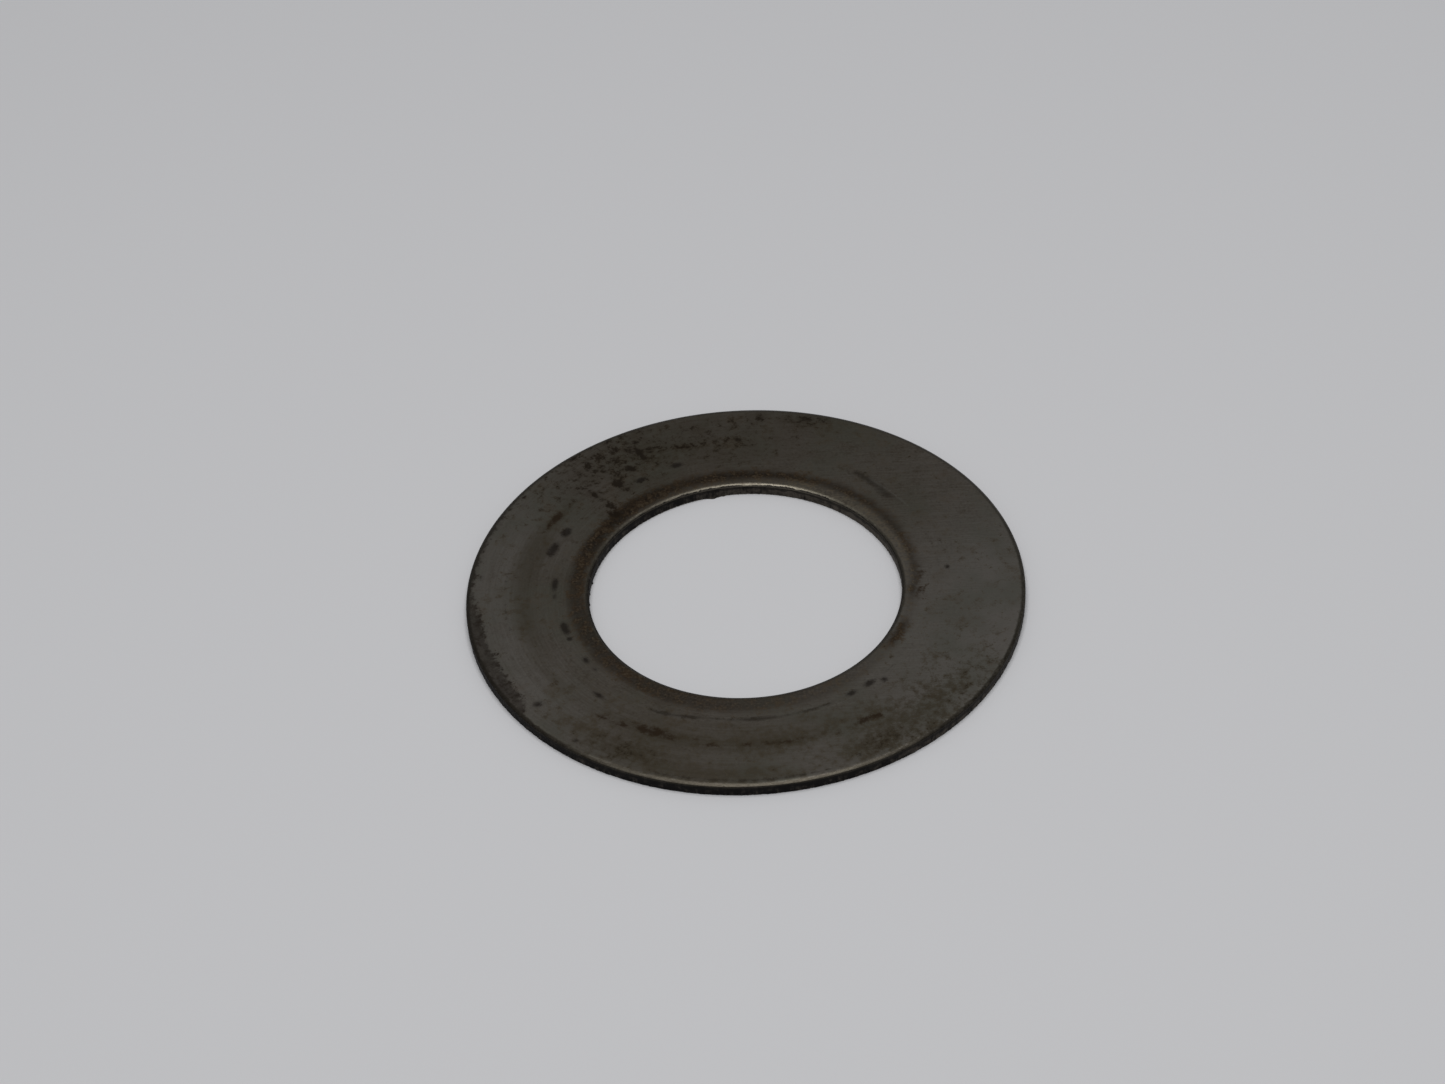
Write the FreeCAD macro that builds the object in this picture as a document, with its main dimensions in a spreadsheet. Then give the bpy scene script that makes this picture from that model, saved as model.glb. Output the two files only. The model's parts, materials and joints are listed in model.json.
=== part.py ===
"""Thin flat washer: one ring, punched from sheet steel.

Lengths are in millimetres. The origin is on the axis of the bore at the underside,
and +Z points up through the face that the punch entered.

The features follow the way the ring is made. A round blank is cut from the sheet
and the bore is pierced through it. Both cuts leave the same two marks: a die roll,
where the sheet was pulled down round the top edge, and a fracture band above the
underside, where the last part of the cut tore away at a slight taper.
"""
import FreeCAD, Part
import math
import os

import Sketcher

DIMENSIONS = (
    ("outer_diameter", 45.0),
    ("bore_diameter", 25.2),
    ("sheet_thickness", 1.0),
    ("die_roll_radius", 0.2),
    ("fracture_height", 0.55),
    ("fracture_taper", 0.03),
)
NODE = "flat_washer"
# Allowed error of a length, and of a volume or an area.
LENGTH_TOLERANCE = 1e-4
SIZE_TOLERANCE = 1e-3


def make_dimensions(doc):
    """Keep the driving dimensions in a spreadsheet, each cell with a word alias."""
    sheet = doc.addObject("Spreadsheet::Sheet", "Dimensions")
    for row, (name, value) in enumerate(DIMENSIONS, start=1):
        sheet.set(f"A{row}", name)
        sheet.set(f"B{row}", str(value))
        sheet.setAlias(f"B{row}", name)
    doc.recompute()
    return sheet


def base_plane(body):
    """The body's own horizontal origin plane, which holds the underside."""
    planes = {feature.Role: feature for feature in body.Origin.OriginFeatures}
    return planes["XY_Plane"]


def circle_sketch(body, sheet, name, diameter):
    """Sketch a circle round the axis, its diameter bound to the named cell."""
    sketch = body.newObject("Sketcher::SketchObject", name)
    sketch.AttachmentSupport = [(base_plane(body), "")]
    sketch.MapMode = "FlatFace"
    size = getattr(sheet, diameter)
    outline = Part.Circle(FreeCAD.Vector(0, 0, 0), FreeCAD.Vector(0, 0, 1), size / 2)
    circle = sketch.addGeometry(outline, False)
    centre = (circle, 3)
    sketch_origin = (-1, 1)
    sketch.addConstraint(Sketcher.Constraint("Coincident", *centre, *sketch_origin))
    number = sketch.addConstraint(Sketcher.Constraint("Diameter", circle, size))
    sketch.renameConstraint(number, diameter)
    sketch.setExpression(f"Constraints.{diameter}", f"Dimensions.{diameter}")
    return sketch


def cut_blank(body, sheet):
    """The round blank, as thick as the sheet that it is cut from."""
    blank = body.newObject("PartDesign::Pad", "blank")
    blank.Profile = circle_sketch(body, sheet, "blank_outline", "outer_diameter")
    blank.setExpression("Length", "Dimensions.sheet_thickness")
    return blank


def pierce_bore(body, sheet):
    """The bore, from the underside up through the whole blank."""
    bore = body.newObject("PartDesign::Pocket", "bore")
    bore.Profile = circle_sketch(body, sheet, "bore_outline", "bore_diameter")
    bore.Type = "ThroughAll"
    bore.Reversed = True
    return bore


def edge_name(feature, radius, height):
    """Name of the one circular edge of a feature that has this radius and height."""
    for number, edge in enumerate(feature.Shape.Edges, start=1):
        if edge.Curve.TypeId != "Part::GeomCircle":
            continue
        radius_error = abs(edge.Curve.Radius - radius)
        height_error = abs(edge.Curve.Center.z - height)
        if max(radius_error, height_error) < LENGTH_TOLERANCE:
            return f"Edge{number}"
    raise RuntimeError(f"{feature.Name} has no edge of radius {radius} at {height}")


def roll_top_edges(body, sheet, ring):
    """The die roll, the same on the rim and on the bore."""
    roll = body.newObject("PartDesign::Fillet", "die_roll")
    top_edges = [
        edge_name(ring, diameter / 2, sheet.sheet_thickness)
        for diameter in (sheet.outer_diameter, sheet.bore_diameter)
    ]
    roll.Base = (ring, top_edges)
    roll.setExpression("Radius", "Dimensions.die_roll_radius")
    return roll


def taper_lower_edge(body, ring, name, diameter):
    """The fracture band of one wall: tall up the wall, shallow across the underside."""
    band = body.newObject("PartDesign::Chamfer", name)
    band.Base = (ring, [edge_name(ring, diameter / 2, 0.0)])
    band.ChamferType = "Two distances"
    band.setExpression("Size", "Dimensions.fracture_taper")
    band.setExpression("Size2", "Dimensions.fracture_height")
    return band


def build_washer(doc, sheet):
    """One body, its features in the order of the real cuts."""
    body = doc.addObject("PartDesign::Body", NODE)
    body.Label = NODE
    body.Placement = FreeCAD.Placement()
    cut_blank(body, sheet)
    ring = pierce_bore(body, sheet)
    doc.recompute()
    ring = roll_top_edges(body, sheet, ring)
    doc.recompute()
    ring = taper_lower_edge(body, ring, "bore_fracture", sheet.bore_diameter)
    doc.recompute()
    taper_lower_edge(body, ring, "rim_fracture", sheet.outer_diameter)
    doc.recompute()
    return body


def expected_volume(sheet):
    """Volume of the plain ring, less what the rolls and fracture bands take away.

    Each piece taken away is a small section turned round the axis, so its volume
    is the section's area times the path of the section's centroid.
    """
    rim = sheet.outer_diameter / 2
    bore = sheet.bore_diameter / 2
    plain_ring = math.pi * (rim**2 - bore**2) * sheet.sheet_thickness
    roll_area = (1 - math.pi / 4) * sheet.die_roll_radius**2
    roll_depth = sheet.die_roll_radius * (10 - 3 * math.pi) / (12 - 3 * math.pi)
    band_area = sheet.fracture_taper * sheet.fracture_height / 2
    band_depth = sheet.fracture_taper / 3
    volume = plain_ring
    for area, depth in ((roll_area, roll_depth), (band_area, band_depth)):
        for centroid in (rim - depth, bore + depth):
            volume -= 2 * math.pi * centroid * area
    return volume


def expected_underside(sheet):
    """Area of the flat underside, which both fracture bands narrow by their taper."""
    rim = sheet.outer_diameter / 2 - sheet.fracture_taper
    bore = sheet.bore_diameter / 2 + sheet.fracture_taper
    return math.pi * (rim**2 - bore**2)


def underside_area(shape):
    """Area of the faces that lie flat at the origin's height."""
    return sum(
        face.Area
        for face in shape.Faces
        if face.BoundBox.ZMax < LENGTH_TOLERANCE
    )


def check(doc, sheet, body):
    """Stop if anything failed to build, or if a cut took away the wrong amount."""
    for item in doc.Objects:
        if "Invalid" in item.State or "Error" in item.State:
            raise RuntimeError(f"{item.Label} failed: {item.State}")
    if body.Shape.isNull() or not body.Shape.isValid():
        raise RuntimeError(f"{body.Label} has no valid shape")
    measures = (
        ("volume", body.Shape.Volume, expected_volume(sheet)),
        ("underside area", underside_area(body.Shape), expected_underside(sheet)),
    )
    for name, measured, expected in measures:
        print(f"{name} {measured:.4f}, expected {expected:.4f}")
        if abs(measured - expected) > SIZE_TOLERANCE:
            raise RuntimeError(f"{body.Label} has the wrong {name}")


def main():
    """Build the washer, check it and write its STEP file."""
    doc = FreeCAD.newDocument("FlatWasher")
    sheet = make_dimensions(doc)
    body = build_washer(doc, sheet)
    check(doc, sheet, body)
    os.makedirs("parts", exist_ok=True)
    body.Shape.exportStep(f"parts/{body.Label}.step")
    print(f"wrote parts/{body.Label}.step")


main()
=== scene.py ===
"""A thin flat washer, punched from sheet steel, lying on a pale table.

One closed ring mesh stands for the CAD washer. It has the marks that punching
leaves: rolled top edges, a smooth land and a torn band on both walls, and small
burrs. Stains are laid on the mesh as soft fields, which the steel's nodes sharpen.
A painted sheen on the face, painted highlights on the rolled edges and painted shade
on part of the rim's walls are laid on it as fields too.

Lengths are in millimetres until a mesh is made. Angles are in degrees, anticlockwise
from +X seen from above. A reach is a distance from the axis, as a share of the rim's
radius. Colours are linear.
"""
import json
import math

import bpy
import numpy as np
from mathutils import Matrix, Vector


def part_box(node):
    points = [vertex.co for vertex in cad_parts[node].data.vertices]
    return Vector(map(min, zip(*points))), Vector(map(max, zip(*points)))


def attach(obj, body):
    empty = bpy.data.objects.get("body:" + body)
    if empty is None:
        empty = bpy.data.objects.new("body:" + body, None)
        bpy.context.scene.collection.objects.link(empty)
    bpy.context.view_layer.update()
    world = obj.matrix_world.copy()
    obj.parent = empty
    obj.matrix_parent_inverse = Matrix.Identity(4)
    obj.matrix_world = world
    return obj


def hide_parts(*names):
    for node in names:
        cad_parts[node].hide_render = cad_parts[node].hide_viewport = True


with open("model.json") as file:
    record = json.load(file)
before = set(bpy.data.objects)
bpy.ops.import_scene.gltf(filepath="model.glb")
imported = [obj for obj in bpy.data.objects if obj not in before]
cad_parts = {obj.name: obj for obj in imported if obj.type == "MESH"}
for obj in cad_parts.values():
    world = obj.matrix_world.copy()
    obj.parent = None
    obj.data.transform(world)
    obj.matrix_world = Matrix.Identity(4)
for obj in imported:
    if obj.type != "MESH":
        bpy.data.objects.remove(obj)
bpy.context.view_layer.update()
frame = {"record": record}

# Driving sizes, from the frame.
MM = 0.001
LOWEST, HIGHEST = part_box("flat_washer")
RIM = (HIGHEST[0] - LOWEST[0]) / 2 / MM
THICKNESS = (HIGHEST[2] - LOWEST[2]) / MM
MOUNTS = {mount["name"]: mount for mount in frame["record"]["mounts"]}
BORE = MOUNTS["bore"]["dims"]["r_mm"]

# The marks of punching, as shares of the sheet's thickness.
ROLL_WIDTH = 0.40 * THICKNESS
RIM_ROLL_DROP = 0.15 * THICKNESS
BORE_ROLL_DROP = 0.18 * THICKNESS
TEAR_HEIGHT = 0.55 * THICKNESS
TEAR_TAPER = 0.03 * THICKNESS

# How those marks waver round the ring: (share of the size, fewest waves, most waves).
ROLL_WAVER = (0.12, 2, 30)
TEAR_WAVER = (0.16, 5, 90)
TAPER_WAVER = (0.5, 40, 300)
# A waver adds up at most this many waves, none under this share of the greatest size.
WAVES_ADDED = 24
SMALLEST_WAVE = 0.4

# Burrs on the lower edges, each as (angle, half width in degrees, size).
BORE_BURRS = (
    (100.0, 2.5, 0.20),
    (96.0, 0.7, 0.08),
    (168.0, 0.5, 0.08),
    (174.0, 0.4, 0.06),
    (180.0, 0.6, 0.08),
)
RIM_BURRS = (
    (98.5, 0.3, 0.07),
    (131.0, 0.5, 0.03),
    (318.0, 0.6, 0.03),
)

# How finely each stretch of the section is divided.
SPOKES = 720
FACE_STEPS = 72
ROLL_STEPS = 6
LAND_STEPS = 4
TEAR_STEPS = 5
UNDERSIDE_STEPS = 30

# The underside has like stains in other places: mirrored, and turned by this angle.
UNDERSIDE_TURN = 200

# Stains, each as (angle, reach, half width round the ring, half depth, strength).
BLOTS = (
    (4, 0.730, 0.28, 0.22, 0.8),
    (75, 0.692, 0.80, 0.24, 0.4),
    (108, 0.730, 0.52, 0.32, 0.9),
    (120, 0.720, 0.50, 0.30, 0.9),
    (151, 0.729, 0.56, 0.38, 1.0),
    (159, 0.735, 0.90, 0.40, 0.9),
    (172, 0.957, 0.55, 0.33, 0.5),
    (173, 0.864, 0.20, 0.20, 0.6),
    (174, 0.685, 0.76, 0.27, 0.9),
    (179, 0.682, 0.50, 0.24, 0.6),
    (194, 0.667, 0.74, 0.30, 1.0),
    (199, 0.667, 0.24, 0.24, 0.9),
    (204, 0.736, 0.30, 0.24, 0.4),
    (210, 0.663, 0.44, 0.27, 0.8),
    (215, 0.663, 0.36, 0.24, 0.6),
    (216, 0.920, 0.35, 0.45, 0.8),
    (224, 0.739, 0.65, 0.24, 0.8),
    (230, 0.955, 0.30, 0.30, 0.6),
    (264, 0.707, 0.60, 0.24, 0.4),
    (292, 0.946, 0.25, 0.22, 0.6),
    (301, 0.670, 0.57, 0.27, 0.8),
    (308, 0.669, 0.57, 0.30, 0.9),
    (312, 0.692, 0.34, 0.33, 0.8),
)
RUST = (
    (89, 0.800, 0.50, 0.30, 0.4),
    (96, 0.805, 0.60, 0.30, 0.5),
    (104, 0.825, 1.60, 0.45, 0.7),
    (141, 0.800, 0.60, 0.25, 0.6),
    (147, 0.802, 0.75, 0.30, 1.2),
    (151, 0.803, 0.90, 0.25, 0.8),
    (206, 0.800, 0.40, 0.22, 0.5),
    (213, 0.805, 0.50, 0.25, 0.5),
    (221, 0.798, 0.50, 0.22, 0.5),
    (231, 0.812, 0.80, 0.28, 0.9),
    (236, 0.806, 0.80, 0.28, 1.0),
    (244, 0.790, 1.60, 0.40, 1.15),
    (249, 0.800, 0.80, 0.30, 0.7),
    (255, 0.783, 0.40, 0.22, 0.6),
    (259, 0.808, 0.90, 0.30, 0.8),
    (268, 0.800, 0.50, 0.25, 0.7),
    (278, 0.801, 2.20, 0.26, 0.75),
    (291, 0.814, 0.30, 0.30, 0.7),
    (298, 0.806, 1.00, 0.32, 1.05),
    (302, 0.815, 0.60, 0.25, 0.9),
    (313, 0.826, 0.40, 0.40, 0.6),
    (354, 0.622, 1.00, 0.50, 0.6),
    (3, 0.634, 1.20, 0.40, 0.6),
)
FILM = (
    (34, 0.940, 1.80, 0.50, 0.4),
    (72, 0.950, 2.40, 0.80, 0.6),
    (97, 0.800, 3.00, 0.60, 0.6),
    (98, 0.900, 0.80, 0.80, 0.5),
    (106, 0.820, 3.50, 0.90, 0.8),
    (148, 0.800, 2.50, 0.60, 1.0),
    (164, 0.795, 4.50, 0.90, 1.3),
    (189, 0.790, 4.50, 0.80, 0.9),
    (212, 0.800, 4.00, 0.50, 0.6),
    (240, 0.920, 3.00, 1.00, 0.7),
    (246, 0.800, 4.50, 0.70, 1.1),
    (275, 0.800, 5.00, 0.50, 1.0),
    (298, 0.810, 2.50, 0.50, 0.8),
    (300, 0.920, 4.00, 1.20, 0.7),
    (317, 0.900, 4.00, 1.20, 0.5),
)
SOIL = (
    (40, 0.750, 5.00, 2.00, 0.3),
    (75, 0.920, 6.00, 1.50, 0.5),
    (95, 0.770, 6.00, 2.50, 0.5),
    (118, 0.840, 8.00, 3.50, 0.55),
    (160, 0.800, 8.00, 2.00, 0.3),
    (240, 0.730, 6.00, 1.50, 0.5),
    (243, 0.900, 6.00, 1.60, 1.0),
    (258, 0.945, 6.00, 1.00, 1.3),
    (275, 0.780, 12.0, 1.80, 0.9),
    (274, 0.955, 5.00, 0.80, 0.8),
    (290, 0.920, 6.00, 1.00, 0.7),
    (304, 0.900, 7.00, 2.60, 1.1),
    (316, 0.860, 4.50, 2.20, 0.6),
    (323, 0.940, 3.00, 1.20, 0.6),
)
OXIDE = (
    (70, 0.960, 0.60, 0.40, 0.9),
    (74, 0.951, 0.90, 0.50, 1.0),
    (76, 0.945, 2.40, 1.00, 0.5),
    (84, 0.939, 0.50, 0.60, 1.0),
    (88, 0.910, 4.00, 1.50, 0.45),
    (93, 0.820, 5.00, 2.50, 0.5),
    (101, 0.835, 2.50, 0.80, 0.65),
    (104, 0.905, 3.00, 0.60, 0.6),
    (110, 0.850, 4.00, 1.60, 0.6),
    (114, 0.914, 0.35, 0.35, 1.0),
    (115, 0.854, 0.35, 0.75, 1.4),
    (119, 0.920, 0.30, 0.35, 1.0),
    (120, 0.798, 0.50, 0.50, 1.3),
    (123, 0.904, 0.35, 0.45, 1.1),
    (112, 0.900, 4.00, 1.20, 0.5),
    (122, 0.870, 6.00, 3.60, 0.66),
    (126, 0.745, 0.40, 0.80, 1.4),
    (126, 0.845, 0.35, 0.30, 1.1),
    (127, 0.920, 0.30, 0.40, 1.1),
    (128, 0.898, 0.35, 0.45, 1.1),
    (129, 0.979, 0.50, 0.30, 1.0),
    (134, 0.680, 0.30, 0.60, 1.1),
    (134, 0.770, 0.30, 1.30, 1.1),
    (136, 0.632, 0.45, 0.50, 1.2),
    (240, 0.920, 2.50, 1.00, 0.5),
    (300, 0.930, 2.20, 1.00, 0.5),
    (310, 0.950, 3.00, 1.00, 0.3),
    (313, 0.870, 4.00, 2.00, 0.2),
    (322, 0.945, 2.80, 0.80, 0.35),
)
# Marks drawn round the ring, each as (angle, reach, angle, reach, half depth, strength).
SMEARS = (
    (5, 0.702, 25, 0.708, 0.12, 0.4),
    (8, 0.737, 25, 0.742, 0.12, 0.4),
    (41, 0.714, 53, 0.736, 0.40, 0.9),
    (168, 0.865, 190, 0.856, 0.10, 0.5),
    (242, 0.695, 252, 0.683, 0.18, 1.0),
    (254, 0.677, 294, 0.675, 0.13, 0.8),
    (268, 0.676, 276, 0.676, 0.20, 1.0),
    (250, 0.972, 285, 0.972, 0.14, 0.7),
    (309, 0.668, 320, 0.669, 0.10, 0.6),
)
SCRATCHES = (
    (5, 0.716, 28, 0.728, 0.10, 0.5),
    (33, 0.726, 53, 0.739, 0.11, 0.9),
    (255, 0.690, 300, 0.690, 0.11, 0.6),
    (150, 0.902, 176, 0.910, 0.10, 0.4),
)
# A drawn mark fades this many times as far past its ends as across it.
DRAWN_OUT = 3

# Quantities that vary round the ring, each as {angle: value}. First, a painted sheen: how
# light the steel is painted near the bore and near the rim. It is lightest to the right, light
# to the left and darkest at the far side of the face, in place of the light that its turned
# and brushed finish would catch.
INNER_SHEEN = {0: 0.87, 30: 0.52, 60: 0.50, 90: 0.40, 120: 0.36, 150: 0.55, 180: 0.48,
              210: 0.52, 240: 0.47, 270: 0.57, 300: 0.72, 330: 0.96}
OUTER_SHEEN = {0: 1.14, 30: 0.56, 60: 0.42, 90: 0.38, 112: 0.42, 130: 0.5, 150: 0.84, 180: 0.9,
              215: 0.84, 240: 0.58, 270: 0.64, 300: 1.06, 330: 1.2}
# The reaches between which the ring of varnish lies, and its strength.
RING_OUTSIDE = {0: 0.630, 10: 0.638, 30: 0.654, 50: 0.661, 75: 0.652, 90: 0.653, 130: 0.658,
                150: 0.648, 180: 0.646, 220: 0.640, 240: 0.648, 260: 0.648, 300: 0.640,
                318: 0.628, 333: 0.626, 355: 0.624}
RING_INSIDE = {0: 0.583, 15: 0.592, 30: 0.597, 50: 0.602, 60: 0.601, 75: 0.591, 110: 0.580,
               130: 0.574, 150: 0.568, 165: 0.569, 180: 0.563, 195: 0.550, 310: 0.550,
               333: 0.572, 345: 0.570, 355: 0.570}
RING_STRENGTH = {0: 0.85, 20: 0.85, 45: 0.92, 60: 0.92, 75: 1.05, 90: 1.1, 110: 1.0, 130: 1.25,
                 150: 1.1, 180: 0.88, 200: 0.92, 220: 0.9, 245: 0.85, 260: 0.75, 280: 0.65,
                 300: 0.55, 315: 0.45, 322: 0.35, 328: 1.0, 337: 0.95, 341: 0.4, 348: 0.4,
                 354: 1.0}
# The reach at which the dark stain along the rim starts.
STAIN_REACH = {0: 1.0, 60: 1.0, 100: 0.996, 115: 0.982, 135: 0.976, 150: 0.968, 176: 0.968,
               183: 0.944, 195: 0.934, 205: 0.929, 213: 0.934, 218: 0.980, 228: 0.998,
               240: 1.02, 305: 1.02, 312: 0.998, 330: 0.990, 345: 0.995}
# Strength of the pale lip on the inner part of the varnish.
LIP = {0: 0.5, 15: 0.65, 30: 0.75, 45: 0.8, 60: 0.75, 75: 0.4, 90: 0.2, 110: 0.2, 130: 0.1,
       150: 0.0, 335: 0.0, 350: 0.15}
# How bright the rolled edges are painted: partly wear, and partly painted highlights that
# change round the ring, brightest where the overhead light would glint on them.
RIM_WEAR_AND_HIGHLIGHT = {0: 0.35, 30: 0.35, 60: 0.25, 120: 0.2, 180: 0.1, 210: 0.05, 225: 0.12, 240: 0.2,
             255: 0.2, 270: 0.22, 285: 0.25, 298: 0.24, 308: 0.12, 340: 0.25}
BORE_WEAR_AND_HIGHLIGHT = {0: 0.3, 15: 0.35, 30: 0.5, 60: 0.9, 75: 1.05, 90: 0.7, 110: 0.52, 130: 0.5,
              150: 0.32, 165: 0.2, 200: 0.25, 330: 0.3}
# How light the torn walls are. On the rim's near side, from 228° to 290°, the walls are
# painted near black: partly their own dark steel and partly painted shade.
BORE_WALL = {0: 0.9, 40: 0.9, 70: 0.65, 95: 0.45, 110: 0.25, 130: 0.1, 160: 0.0, 200: 0.0,
             300: 0.2, 330: 0.6}
RIM_WALL = {0: 0.4, 60: 0.3, 120: 0.2, 180: 0.1, 228: 0.0, 290: 0.05, 302: 0.5, 330: 0.5}

# The fields of the ring and the rim's stain are 0 at their outlines and 1 this far inside
# them, and go no further from 0 than the limit.
EDGE_SOFTNESS = 0.02
FIELD_LIMIT = 2.0
# The painted sheen goes from the inner to the outer one from this reach on, over this depth.
SHEEN_REACH = 0.70
SHEEN_DEPTH = 0.18
# The lip starts inside this reach, and gains its strength over this depth.
LIP_REACH = 0.622
LIP_DEPTH = 0.03
# What is past this reach belongs to the rim, and the rest to the bore.
MIDDLE_REACH = 0.8
# How much earlier the walls' dark colour starts on each roll, as a share of its width.
RIM_BRINK = -0.2
BORE_BRINK = 0.1

# Cloudy noises, each as (features per millimetre, detail, roughness).
CLOUDS = {
    "grain": (5.0, 4.0, 0.65),
    "speckle": (1.7, 4.0, 0.6),
    "cloud": (0.55, 3.0, 0.5),
    "haze": (0.16, 2.0, 0.5),
}
# Streaky noises, each as (features per millimetre in three directions, detail, roughness).
# The turned one runs round the ring, so its first two scales are per radian.
STREAKS = {
    "turned": ((3.0, 3.0, 5.0), 4.0, 0.6),
    "brushed": ((0.35, 7.0, 1.0), 3.0, 0.6),
    "striped": ((6.0, 6.0, 0.72), 2.0, 0.5),
}
# A noise runs from 0 to 1, mostly near the middle, and is spread over this width round 0.
NOISE_SPREAD = 4.0
# The cosines of the angles at which the face is all turned, and all brushed.
ALL_TURNED = -0.3
ALL_BRUSHED = 0.7

# How shares of the noises break up the fields of the stains, the rolled edges and the
# brinks of the walls: {name: (field, value for 0, value for 1, shares)}.
STAINS = {
    "ring": ("ring", -0.9, 1.3, {"speckle": 0.8, "grain": 0.8}),
    "edge": ("edge", -0.2, 1.0, {"speckle": 0.9, "grain": 0.5}),
    "lip": ("lip", 0.1, 1.3, {"speckle": 0.6, "grain": 0.8}),
    "rust": ("rust", 0.25, 0.9, {"speckle": 0.4, "grain": 0.2}),
    "film": ("film", 0.05, 1.0, {"speckle": 0.25, "grain": 0.15}),
    "soil": ("soil", 0.1, 1.1, {"cloud": 0.35, "speckle": 0.6, "grain": 0.4}),
    "soot": ("oxide", 0.0, 1.1, {"speckle": 0.5, "grain": 0.35}),
    "oxide": ("oxide", 0.4, 1.0, {"speckle": 0.6, "grain": 0.45}),
    "blots": ("blots", 0.18, 0.7, {"speckle": 0.1, "grain": 0.15}),
    "smears": ("smears", 0.2, 1.0, {"speckle": 0.45, "grain": 0.2}),
    "scratches": ("scratches", 0.3, 0.8, {"speckle": 0.2, "grain": 0.2}),
    "rolled": ("rolled", 0.0, 0.5, {"speckle": 0.2, "grain": 0.15}),
    "brink": ("brink", 0.62, 0.92, {"speckle": 0.2, "grain": 0.15}),
}
# Stains that are thinner in places, by shares of the noises: {name: (strength, shares)}.
PATCHY = {
    "ring": (0.95, {"speckle": 0.3, "cloud": 0.2}),
    "edge": (0.85, {"speckle": 0.3, "grain": 0.15}),
}

# Steel, from dark to light. The painted sheen sets how light it is, and these noises and
# marks add to that.
DARK_STEEL = (0.087, 0.069, 0.048)
LIGHT_STEEL = (0.198, 0.183, 0.164)
TONE = {"cloud": 0.20, "speckle": 0.2, "grain": 0.22, "turned": 0.2, "brushed": 0.22,
        "scratches": 0.3}
# Tints in patches, each as (shares, value for none, value for most, most, colour).
TINTS = (
    ({"haze": 1.0, "cloud": 0.5, "grain": 0.4}, -0.5, 0.9, 0.42, (0.104, 0.110, 0.082)),
    ({"cloud": 1.0, "speckle": 0.3, "grain": 0.4}, 0.0, 1.1, 0.42, (0.145, 0.108, 0.080)),
)
# Varnish, from dark to light, and the mottle between them.
DARK_VARNISH = (0.008, 0.005, 0.003)
LIGHT_VARNISH = (0.056, 0.037, 0.021)
VARNISH_OPACITY = 0.97
MOTTLE = {"speckle": 1.0, "cloud": 0.7, "grain": 0.8}
MOTTLE_RANGE = (-1.0, 0.8)
# Stains under and over the varnish, from the lowest up, each as (stain, opacity, colour).
UNDER_VARNISH = (
    ("soil", 0.62, (0.075, 0.057, 0.032)),
    ("film", 0.5, (0.070, 0.057, 0.034)),
)
OVER_VARNISH = (
    ("lip", 0.65, (0.205, 0.172, 0.122)),
    ("rust", 0.9, (0.030, 0.018, 0.010)),
    ("soot", 0.55, (0.050, 0.034, 0.018)),
    ("oxide", 0.85, (0.016, 0.011, 0.007)),
    ("smears", 0.6, (0.030, 0.024, 0.018)),
    ("blots", 0.84, (0.014, 0.010, 0.008)),
    ("edge", 0.87, (0.024, 0.018, 0.014)),
)
# Rolled edges, from dull to worn bright with a painted highlight, and the sparkle between
# them.
DULL_ROLL = (0.022, 0.018, 0.014)
WORN_AND_HIGHLIGHT_ROLL = (0.204, 0.186, 0.148)
SPARKLE = {"speckle": 0.5, "grain": 0.7}
# Walls: the torn band, from dark to light, and the smooth land above it. The darkest
# also stands for painted shade on the rim's near side.
DARK_TEAR_AND_SHADE = (0.006, 0.005, 0.005)
LIGHT_TEAR = (0.085, 0.073, 0.060)
TORN = {"striped": 0.28, "speckle": 0.65}
TORN_RANGE = (-0.1, 1.1)
LAND = (0.008, 0.007, 0.006)
LAND_OPACITY = 0.7

# The steel's finish, and the shares of the noises and stains that change it.
ROUGHNESS = 0.42
ROUGHNESS_SHARES = {"grain": 0.06, "dull": 0.14, "worn": -0.10, "walls": 0.28}
METAL_SHARES = {"dull": -0.12, "walls": -0.75}
DULL_STAINS = ("ring", "rust", "oxide", "blots", "edge")
SPECULAR_LEVEL = 0.12
# Relief: what adds to its height, how deep a height of 1 is, and how strongly it shows.
RELIEF = {"grain": 0.15, "speckle": 0.08, "turned": 0.13, "brushed": 0.13,
          "scratches": -0.3, "oxide": 0.3}
RELIEF_DEPTH = 0.02
RELIEF_STRENGTH = 0.35

# The table and the light. Distances are in rim radii, and the power is in watts.
TABLE_HALF = 40
TABLE_COLOUR = (0.78, 0.78, 0.80)
TABLE_ROUGHNESS = 0.6
ROOM_COLOUR = (0.98, 0.99, 1.0)
ROOM_STRENGTH = 0.2
SOFTBOX_PLACE = (0.0, -2.0, 20.0)
SOFTBOX_SIZE = 16.0
SOFTBOX_POWER = 1.08

# The camera: its target on the table and its distance from it, in rim radii, its angles,
# and its sensor, its lens and its nearest view in millimetres.
CAMERA_TARGET = (-0.0716, 0.3026, 0.0)
CAMERA_DISTANCE = 14.36
CAMERA_ELEVATION = 41.57
CAMERA_ROLL = -3.25
SENSOR_WIDTH = 36.0
FOCAL_LENGTH = 98.26
NEAREST_VIEW = 10.0


def between(first, last, share):
    """The value at a share of the way from first to last."""
    return first + (last - first) * share


def around(values, angle):
    """Read a quantity that varies round the ring at these angles."""
    stops = list(values)
    return np.interp(angle, stops, [values[stop] for stop in stops], period=360)


def turn_between(first, last):
    """The angle from first to last, the short way round."""
    return (last - first + 180) % 360 - 180


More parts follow.
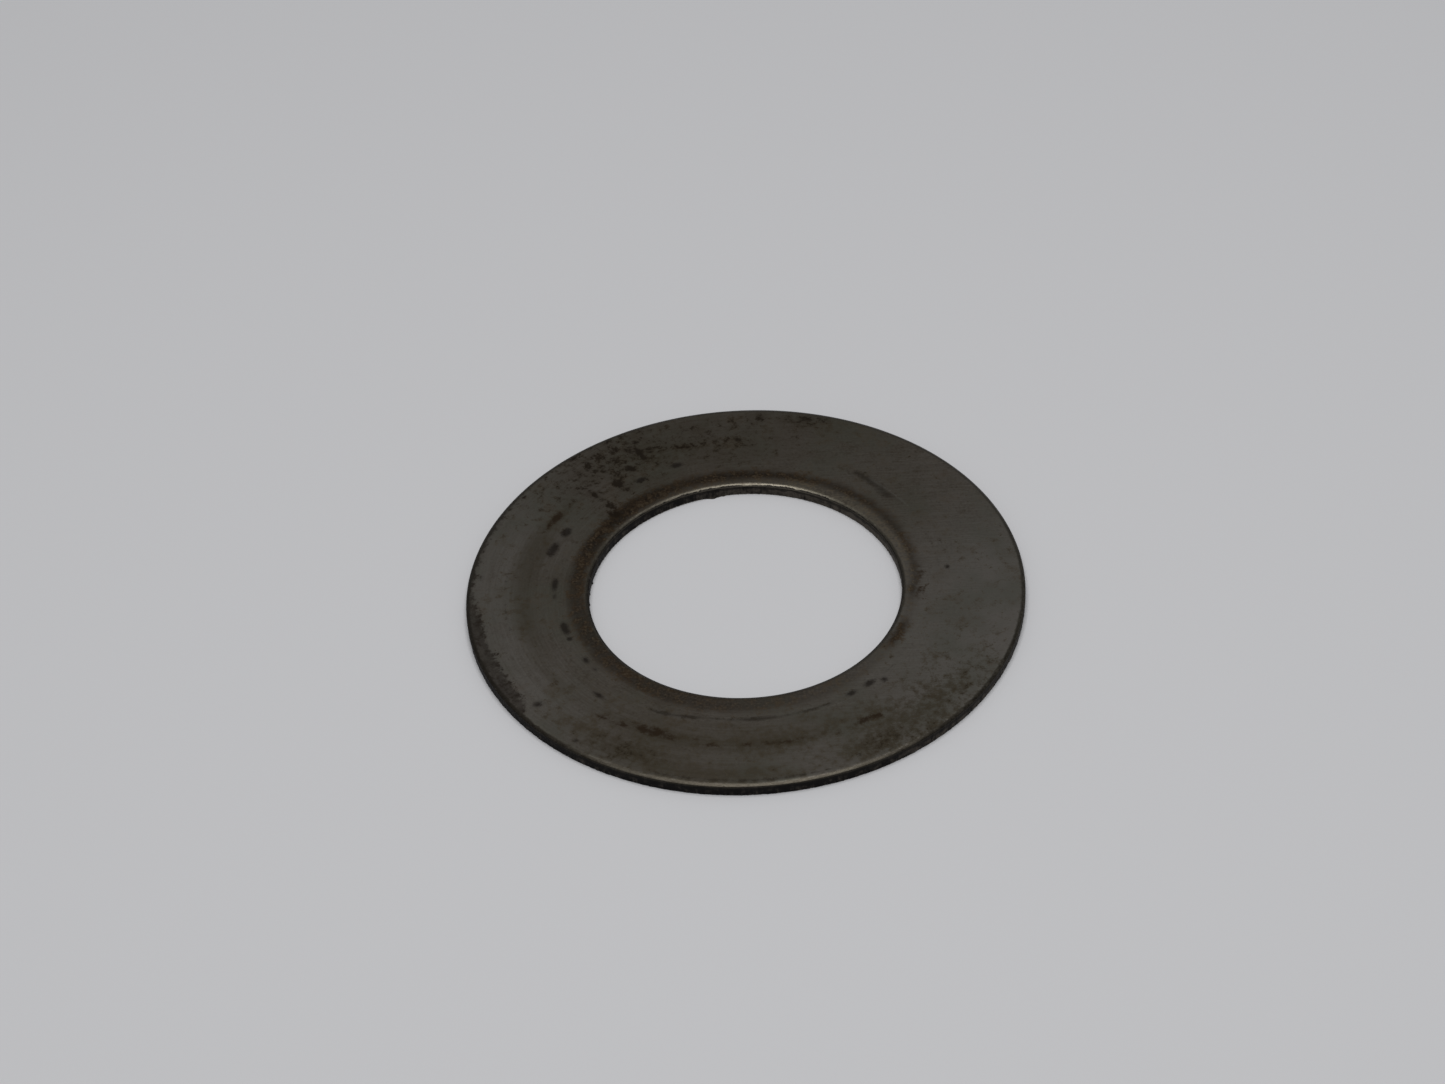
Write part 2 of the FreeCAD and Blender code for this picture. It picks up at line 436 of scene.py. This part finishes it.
def ripple(angle, slowest, fastest, seed):
    """Random waviness round the ring, about -1 to 1, with these numbers of waves."""
    draws = np.random.default_rng(seed)
    waves = np.unique(np.linspace(slowest, fastest, WAVES_ADDED).astype(int))
    phases = draws.uniform(0, 2 * math.pi, len(waves))
    sizes = draws.uniform(SMALLEST_WAVE, 1.0, len(waves))
    turns = np.radians(angle)[..., None] * waves + phases
    return (np.cos(turns) * sizes).sum(axis=-1) / np.sqrt((sizes**2).sum())


def wavering(size, waver, angle, seed):
    """A size that wavers round the ring."""
    share, slowest, fastest = waver
    return size * (1 + share * ripple(angle, slowest, fastest, seed))


def burrs(marks, angle):
    """How far burrs stand out from an edge, at these angles."""
    size = np.zeros_like(angle)
    for middle, half_width, height in marks:
        turn = turn_between(middle, angle)
        size = size + height * np.exp(-((turn / half_width) ** 2))
    return size


def fading(distance, strength):
    """Strength in the middle of a mark, half of it at its edge, and 0 at twice its size."""
    return strength * np.clip(1 - distance / 2, 0, 1)


def stains(marks, angle, reach):
    """Soft field of a list of stains."""
    field = np.zeros_like(reach)
    for middle, middle_reach, half_width, half_depth, strength in marks:
        turn = np.radians(turn_between(middle, angle))
        across = turn * middle_reach * RIM / half_width
        along = (reach - middle_reach) * RIM / half_depth
        field = np.maximum(field, fading(np.hypot(across, along), strength))
    return field


def drawn(marks, angle, reach):
    """Soft field of marks drawn round the ring."""
    field = np.zeros_like(reach)
    for first_angle, first_reach, last_angle, last_reach, half_depth, strength in marks:
        turn = turn_between(first_angle, angle)
        share = np.clip(turn / (last_angle - first_angle), 0, 1)
        beyond = np.radians(turn - share * (last_angle - first_angle)) * reach * RIM
        along = (reach - between(first_reach, last_reach, share)) * RIM
        distance = np.hypot(beyond / DRAWN_OUT, along) / half_depth
        field = np.maximum(field, fading(distance, strength))
    return field


class Section:
    """The ring's section, as rows of radius, height and kind of surface."""

    def __init__(self, angle):
        self.angle = angle
        self.radius = []
        self.height = []
        self.kind = []

    def stretch(self, kind, steps, path):
        """Add this many rows along a path, which is given the share of the way along."""
        for step in range(steps):
            radius, height = path(step / steps)
            self.radius.append(np.broadcast_to(radius, self.angle.shape))
            self.height.append(np.broadcast_to(height, self.angle.shape))
            self.kind.append(kind)


def washer_section():
    """The section turned round the axis, outwards along the underside first."""
    angle = np.linspace(0, 360, SPOKES, endpoint=False)
    rim_roll = wavering(ROLL_WIDTH, ROLL_WAVER, angle, seed=1)
    bore_roll = wavering(ROLL_WIDTH, ROLL_WAVER, angle, seed=2)
    rim_tear = wavering(TEAR_HEIGHT, TEAR_WAVER, angle, seed=3)
    bore_tear = wavering(TEAR_HEIGHT, TEAR_WAVER, angle, seed=4)
    rim_taper = wavering(TEAR_TAPER, TAPER_WAVER, angle, seed=5)
    bore_taper = wavering(TEAR_TAPER, TAPER_WAVER, angle, seed=6)
    rim_foot = RIM - rim_taper + burrs(RIM_BURRS, angle)
    bore_foot = BORE + bore_taper - burrs(BORE_BURRS, angle)
    rim_shoulder = THICKNESS - RIM_ROLL_DROP
    bore_shoulder = THICKNESS - BORE_ROLL_DROP

    def underside(share):
        return between(bore_foot, rim_foot, share), 0.0

    def rim_torn(share):
        return between(rim_foot, RIM, share), rim_tear * share

    def rim_land(share):
        return RIM, between(rim_tear, rim_shoulder, share)

    def rim_rolled(share):
        return RIM - rim_roll * share, THICKNESS - RIM_ROLL_DROP * (1 - share) ** 2

    def face(share):
        return between(RIM - rim_roll, BORE + bore_roll, share), THICKNESS

    def bore_rolled(share):
        return BORE + bore_roll * (1 - share), THICKNESS - BORE_ROLL_DROP * share**2

    def bore_land(share):
        return BORE, between(bore_shoulder, bore_tear, share)

    def bore_torn(share):
        return between(BORE, bore_foot, share), bore_tear * (1 - share)

    section = Section(angle)
    section.stretch("underside", UNDERSIDE_STEPS, underside)
    section.stretch("tear", TEAR_STEPS, rim_torn)
    section.stretch("land", LAND_STEPS, rim_land)
    section.stretch("rim_roll", ROLL_STEPS, rim_rolled)
    section.stretch("face", FACE_STEPS, face)
    section.stretch("bore_roll", ROLL_STEPS, bore_rolled)
    section.stretch("land", LAND_STEPS, bore_land)
    section.stretch("tear", TEAR_STEPS, bore_torn)
    return section


def ring_faces(rows):
    """Quads between neighbouring rows and spokes, closed both ways."""
    row = np.arange(rows)[:, None] * SPOKES
    next_row = np.roll(row, -1, axis=0)
    spoke = np.arange(SPOKES)[None, :]
    next_spoke = np.roll(spoke, -1, axis=1)
    corners = (row + spoke, row + next_spoke, next_row + next_spoke, next_row + spoke)
    return np.stack(corners, axis=-1).reshape(-1, 4)


def washer_fields(angle, reach, kind):
    """Numbers for the material to read at every vertex, each with its name."""
    upper = np.isin(kind, ("face", "rim_roll", "bore_roll"))
    lower = np.broadcast_to(kind == "underside", reach.shape)
    flat = upper | lower
    angle = np.where(lower, UNDERSIDE_TURN - angle, angle)
    on_rim = reach > MIDDLE_REACH

    # A painted sheen round the ring, lightest to the right of the face and darkest at its far
    # side.
    outwards = np.clip((reach - SHEEN_REACH) / SHEEN_DEPTH, 0, 1)
    yield "tone", between(around(INNER_SHEEN, angle), around(OUTER_SHEEN, angle), outwards)
    ring = np.minimum(around(RING_OUTSIDE, angle) - reach, reach - around(RING_INSIDE, angle))
    edge = reach - around(STAIN_REACH, angle)
    for name, inside in (("ring", ring), ("edge", edge)):
        softened = np.clip(inside / EDGE_SOFTNESS, -FIELD_LIMIT, FIELD_LIMIT)
        yield name, np.where(flat, softened, -FIELD_LIMIT)
    yield "ring_strength", around(RING_STRENGTH, angle)
    lip = np.clip((LIP_REACH - reach) / LIP_DEPTH, 0, 1) * around(LIP, angle)
    yield "lip", np.where(upper, lip, 0.0)

    for name, marks in (("rust", RUST), ("film", FILM), ("soil", SOIL), ("oxide", OXIDE)):
        yield name, np.where(flat, stains(marks, angle, reach), 0.0)
    yield "blots", np.where(upper, stains(BLOTS, angle, reach), 0.0)
    for name, marks in (("smears", SMEARS), ("scratches", SCRATCHES)):
        yield name, np.where(upper, drawn(marks, angle, reach), 0.0)

    # From 0 at the top of each roll to 1 at its foot.
    rim_rolled = (reach - 1) * RIM / ROLL_WIDTH + 1
    bore_rolled = (BORE / RIM - reach) * RIM / ROLL_WIDTH + 1
    brink = np.maximum(rim_rolled + RIM_BRINK, bore_rolled + BORE_BRINK)
    yield "rolled", np.where(upper, np.maximum(rim_rolled, bore_rolled), 0.0)
    yield "brink", np.where(upper, brink, 0.0)
    # Wear and painted highlights on the rolled edges, which change round the ring.
    yield "shine", np.where(on_rim, around(RIM_WEAR_AND_HIGHLIGHT, angle), around(BORE_WEAR_AND_HIGHLIGHT, angle))
    # On the rim's near side the walls are painted near black, partly as painted shade.
    wall = np.where(on_rim, around(RIM_WALL, angle), around(BORE_WALL, angle))
    yield "wall", np.where(flat, 0.0, wall)
    yield "land", np.broadcast_to(kind == "land", reach.shape)
    yield "tear", np.broadcast_to(kind == "tear", reach.shape)


def make_washer():
    """The ring as one closed mesh, with its stains as fields."""
    section = washer_section()
    radius = np.stack(section.radius)
    height = np.stack(section.height)
    angle = np.broadcast_to(section.angle, radius.shape)
    turn = np.radians(angle)
    points = np.stack((radius * np.cos(turn), radius * np.sin(turn), height), axis=-1)
    mesh = bpy.data.meshes.new("washer_ring")
    faces = ring_faces(len(section.kind))
    mesh.from_pydata((points.reshape(-1, 3) * MM).tolist(), [], faces.tolist())
    mesh.polygons.foreach_set("use_smooth", [True] * len(mesh.polygons))

    for name, values in washer_fields(angle, radius / RIM, np.array(section.kind)[:, None]):
        layer = mesh.attributes.new(name, "FLOAT", "POINT")
        layer.data.foreach_set("value", values.astype(np.float32).ravel())
    washer = bpy.data.objects.new("washer_ring", mesh)
    bpy.context.scene.collection.objects.link(washer)
    return washer


class Graph:
    """Short calls for the nodes of one material.

    numbers holds the noises and stains worked out so far, by name.
    """

    def __init__(self, name):
        self.material = bpy.data.materials.new(name)
        self.material.use_nodes = True
        self.tree = self.material.node_tree
        self.shader = self.tree.nodes["Principled BSDF"]
        self.numbers = {}

    def add(self, kind, **settings):
        """A new node with these settings."""
        node = self.tree.nodes.new(kind)
        for name, value in settings.items():
            setattr(node, name, value)
        return node

    def feed(self, socket, value):
        """Set a socket, from another socket, as an opaque colour or as a plain number."""
        if isinstance(value, bpy.types.NodeSocket):
            self.tree.links.new(value, socket)
        elif socket.type == "RGBA":
            socket.default_value = (*value, 1.0)
        else:
            socket.default_value = value

    def math(self, operation, *values, clamp=False):
        """One operation on one to three numbers."""
        node = self.add("ShaderNodeMath", operation=operation, use_clamp=clamp)
        for socket, value in zip(node.inputs, values):
            self.feed(socket, value)
        return node.outputs[0]

    def sum(self, start, shares):
        """Add these shares of the named numbers to a number."""
        for name, share in shares.items():
            start = self.math("MULTIPLY_ADD", self.numbers[name], share, start)
        return start

    def ramp(self, value, low, high, most=1.0):
        """Rise smoothly from 0 where the value is low to most where it is high."""
        node = self.add("ShaderNodeMapRange", interpolation_type="SMOOTHSTEP")
        for socket, number in zip(node.inputs, (value, low, high, 0.0, most)):
            self.feed(socket, number)
        return node.outputs[0]

    def mix(self, share, first, second):
        """Blend two colours."""
        node = self.add("ShaderNodeMix", data_type="RGBA")
        self.feed(node.inputs["Factor"], share)
        self.feed(node.inputs["A"], first)
        self.feed(node.inputs["B"], second)
        colours = [socket for socket in node.outputs if socket.type == "RGBA"]
        return colours[0]

    def field(self, name):
        """A number stored on the mesh."""
        return self.add("ShaderNodeAttribute", attribute_name=name).outputs["Fac"]

    def stretched(self, directions, scales):
        """A vector of three numbers, each multiplied by its own scale."""
        node = self.add("ShaderNodeCombineXYZ")
        for socket, number, scale in zip(node.inputs, directions, scales):
            self.feed(socket, self.math("MULTIPLY", number, scale))
        return node.outputs[0]

    def noise(self, place, scale, detail, roughness):
        """Cloudy noise around 0, mostly within -1 to 1."""
        node = self.add("ShaderNodeTexNoise")
        self.feed(node.inputs["Vector"], place)
        self.feed(node.inputs["Scale"], scale)
        self.feed(node.inputs["Detail"], detail)
        self.feed(node.inputs["Roughness"], roughness)
        return self.math("MULTIPLY_ADD", node.outputs["Fac"], NOISE_SPREAD, -NOISE_SPREAD / 2)


def add_noises(graph):
    """Work out the noises at a point of the washer."""
    in_mm = graph.add("ShaderNodeVectorMath", operation="SCALE")
    graph.feed(in_mm.inputs[0], graph.add("ShaderNodeTexCoord").outputs["Object"])
    graph.feed(in_mm.inputs["Scale"], 1 / MM)
    place = in_mm.outputs[0]
    for name, (scale, detail, roughness) in CLOUDS.items():
        graph.numbers[name] = graph.noise(place, scale, detail, roughness)

    split = graph.add("ShaderNodeSeparateXYZ")
    graph.feed(split.inputs[0], place)
    x, y, z = split.outputs
    radius = graph.math("SQRT", graph.math("MULTIPLY_ADD", x, x, graph.math("MULTIPLY", y, y)))
    east = graph.math("DIVIDE", x, radius)
    north = graph.math("DIVIDE", y, radius)
    directions = {
        "turned": (east, north, radius),
        "brushed": (x, y, z),
        "striped": (x, y, z),
    }
    for name, (scales, detail, roughness) in STREAKS.items():
        drawn_out = graph.stretched(directions[name], scales)
        graph.numbers[name] = graph.noise(drawn_out, 1.0, detail, roughness)
    masks = {
        "turned": graph.ramp(east, ALL_BRUSHED, ALL_TURNED),
        "brushed": graph.ramp(east, ALL_TURNED, ALL_BRUSHED),
    }
    for name, mask in masks.items():
        graph.numbers[name] = graph.math("MULTIPLY", graph.numbers[name], mask)


def add_stains(graph):
    """Work out how much of each stain is at a point, from 0 to 1."""
    for name, (field, low, high, shares) in STAINS.items():
        graph.numbers[name] = graph.ramp(graph.sum(graph.field(field), shares), low, high)
    ring_strength = graph.field("ring_strength")
    graph.numbers["ring"] = graph.math("MULTIPLY", graph.numbers["ring"], ring_strength)
    for name, (strength, shares) in PATCHY.items():
        patches = graph.sum(strength, shares)
        graph.numbers[name] = graph.math("MULTIPLY", graph.numbers[name], patches, clamp=True)


def steel_with_painted_sheen(graph):
    """The colour of the steel, turned and brushed, tinted in patches, and with a painted sheen
    round the ring.
    """
    tone = graph.math("MAXIMUM", graph.sum(graph.field("tone"), TONE), 0.0)
    steel = graph.mix(tone, DARK_STEEL, LIGHT_STEEL)
    for shares, low, high, most, tint in TINTS:
        amount = graph.ramp(graph.sum(0.0, shares), low, high, most)
        steel = graph.mix(amount, steel, tint)
    return steel


def stained(graph, steel):
    """The steel with each stain laid on it in turn."""
    mottle = graph.ramp(graph.sum(0.0, MOTTLE), *MOTTLE_RANGE)
    varnish = graph.mix(mottle, DARK_VARNISH, LIGHT_VARNISH)
    layers = (*UNDER_VARNISH, ("ring", VARNISH_OPACITY, varnish), *OVER_VARNISH)
    for name, opacity, paint in layers:
        amount = graph.math("MULTIPLY", graph.numbers[name], opacity)
        steel = graph.mix(amount, steel, paint)
    return steel


def rolls_worn_and_highlit(graph, steel):
    """The steel with its rolled edges worn bright and painted with highlights. Keeps how worn
    each point is.
    """
    rolled = graph.numbers["rolled"]
    # The rolls are painted bright where a highlight would fall, as well as where they are
    # worn.
    shine = graph.math("MULTIPLY", graph.field("shine"), graph.sum(1.0, SPARKLE))
    steel = graph.mix(rolled, steel, graph.mix(shine, DULL_ROLL, WORN_AND_HIGHLIGHT_ROLL))
    graph.numbers["worn"] = graph.math("MULTIPLY", rolled, graph.math("MAXIMUM", shine, 0.0))
    return steel


def dark_on_walls(graph, steel):
    """The steel with its walls dark, torn and smooth, and partly painted with shade. Keeps
    where they are.
    """
    torn = graph.ramp(graph.sum(graph.field("wall"), TORN), *TORN_RANGE)
    land = graph.field("land")
    wall = graph.mix(torn, DARK_TEAR_AND_SHADE, LIGHT_TEAR)
    wall = graph.mix(graph.math("MULTIPLY", land, LAND_OPACITY), wall, LAND)
    is_wall = graph.math("ADD", graph.numbers["brink"], land)
    is_wall = graph.math("ADD", is_wall, graph.field("tear"))
    graph.numbers["walls"] = graph.math("MINIMUM", is_wall, 1.0)
    return graph.mix(graph.numbers["walls"], steel, wall)


def steel_material():
    """Dark, oil-stained steel, with brown varnish, oxide spots, a painted sheen, worn edges
    with painted highlights and walls partly painted with shade.
    """
    graph = Graph("stained_steel")
    add_noises(graph)
    add_stains(graph)
    steel = stained(graph, steel_with_painted_sheen(graph))
    steel = rolls_worn_and_highlit(graph, steel)
    steel = dark_on_walls(graph, steel)

    # Stains are duller than the metal that they lie on.
    dull = 0.0
    for name in DULL_STAINS:
        dull = graph.math("MAXIMUM", graph.numbers[name], dull)
    graph.numbers["dull"] = dull

    bump = graph.add("ShaderNodeBump")
    graph.feed(bump.inputs["Strength"], RELIEF_STRENGTH)
    graph.feed(bump.inputs["Distance"], RELIEF_DEPTH * MM)
    graph.feed(bump.inputs["Height"], graph.sum(0.0, RELIEF))

    inputs = graph.shader.inputs
    graph.feed(inputs["Base Color"], steel)
    graph.feed(inputs["Roughness"], graph.sum(ROUGHNESS, ROUGHNESS_SHARES))
    graph.feed(inputs["Metallic"], graph.sum(1.0, METAL_SHARES))
    graph.feed(inputs["Specular IOR Level"], SPECULAR_LEVEL)
    graph.feed(inputs["Normal"], bump.outputs[0])
    return graph.material


def table_material():
    """Plain pale laminate."""
    graph = Graph("pale_table")
    graph.feed(graph.shader.inputs["Base Color"], TABLE_COLOUR)
    graph.feed(graph.shader.inputs["Roughness"], TABLE_ROUGHNESS)
    return graph.material


def make_table():
    """A plain pale floor, well past the edges of the camera's view."""
    half = TABLE_HALF * RIM * MM
    corners = [(-half, -half, 0), (half, -half, 0), (half, half, 0), (-half, half, 0)]
    mesh = bpy.data.meshes.new("table_top")
    mesh.from_pydata(corners, [], [(0, 1, 2, 3)])
    table = bpy.data.objects.new("table_top", mesh)
    table.data.materials.append(table_material())
    bpy.context.scene.collection.objects.link(table)


def light_room():
    """A dim even room, as bright from every side."""
    world = bpy.data.worlds.new("dim_room")
    world.use_nodes = True
    background = world.node_tree.nodes["Background"]
    background.inputs["Color"].default_value = (*ROOM_COLOUR, 1.0)
    background.inputs["Strength"].default_value = ROOM_STRENGTH
    bpy.context.scene.world = world


def add_softbox():
    """A large round light overhead, which faces the washer."""
    light = bpy.data.lights.new("overhead_softbox", "AREA")
    light.shape = "DISK"
    light.size = SOFTBOX_SIZE * RIM * MM
    light.energy = SOFTBOX_POWER
    softbox = bpy.data.objects.new("overhead_softbox", light)
    softbox.location = Vector(SOFTBOX_PLACE) * RIM * MM
    softbox.rotation_euler = (-softbox.location).to_track_quat("-Z", "Y").to_euler()
    bpy.context.scene.collection.objects.link(softbox)


def place_camera():
    """Look down on the washer from the front."""
    elevation = math.radians(CAMERA_ELEVATION)
    roll = math.radians(CAMERA_ROLL)
    target = Vector(CAMERA_TARGET) * RIM * MM
    distance = CAMERA_DISTANCE * RIM * MM
    camera_data = bpy.data.cameras.new("camera")
    camera_data.sensor_width = SENSOR_WIDTH
    camera_data.lens = FOCAL_LENGTH
    camera_data.clip_start = NEAREST_VIEW * MM
    camera = bpy.data.objects.new("camera", camera_data)
    back = Vector((0.0, -math.cos(elevation), math.sin(elevation)))
    right = Vector((1.0, 0.0, 0.0))
    up = back.cross(right)
    turned_right = right * math.cos(roll) + up * math.sin(roll)
    turned_up = up * math.cos(roll) - right * math.sin(roll)
    turn = Matrix((turned_right, turned_up, back)).transposed()
    camera.matrix_world = Matrix.Translation(target + back * distance) @ turn.to_4x4()
    bpy.context.scene.collection.objects.link(camera)
    bpy.context.scene.camera = camera


washer = make_washer()
washer.data.materials.append(steel_material())
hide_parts("flat_washer")
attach(washer, "root")
make_table()
light_room()
add_softbox()
place_camera()
bpy.context.scene.view_settings.view_transform = "Standard"
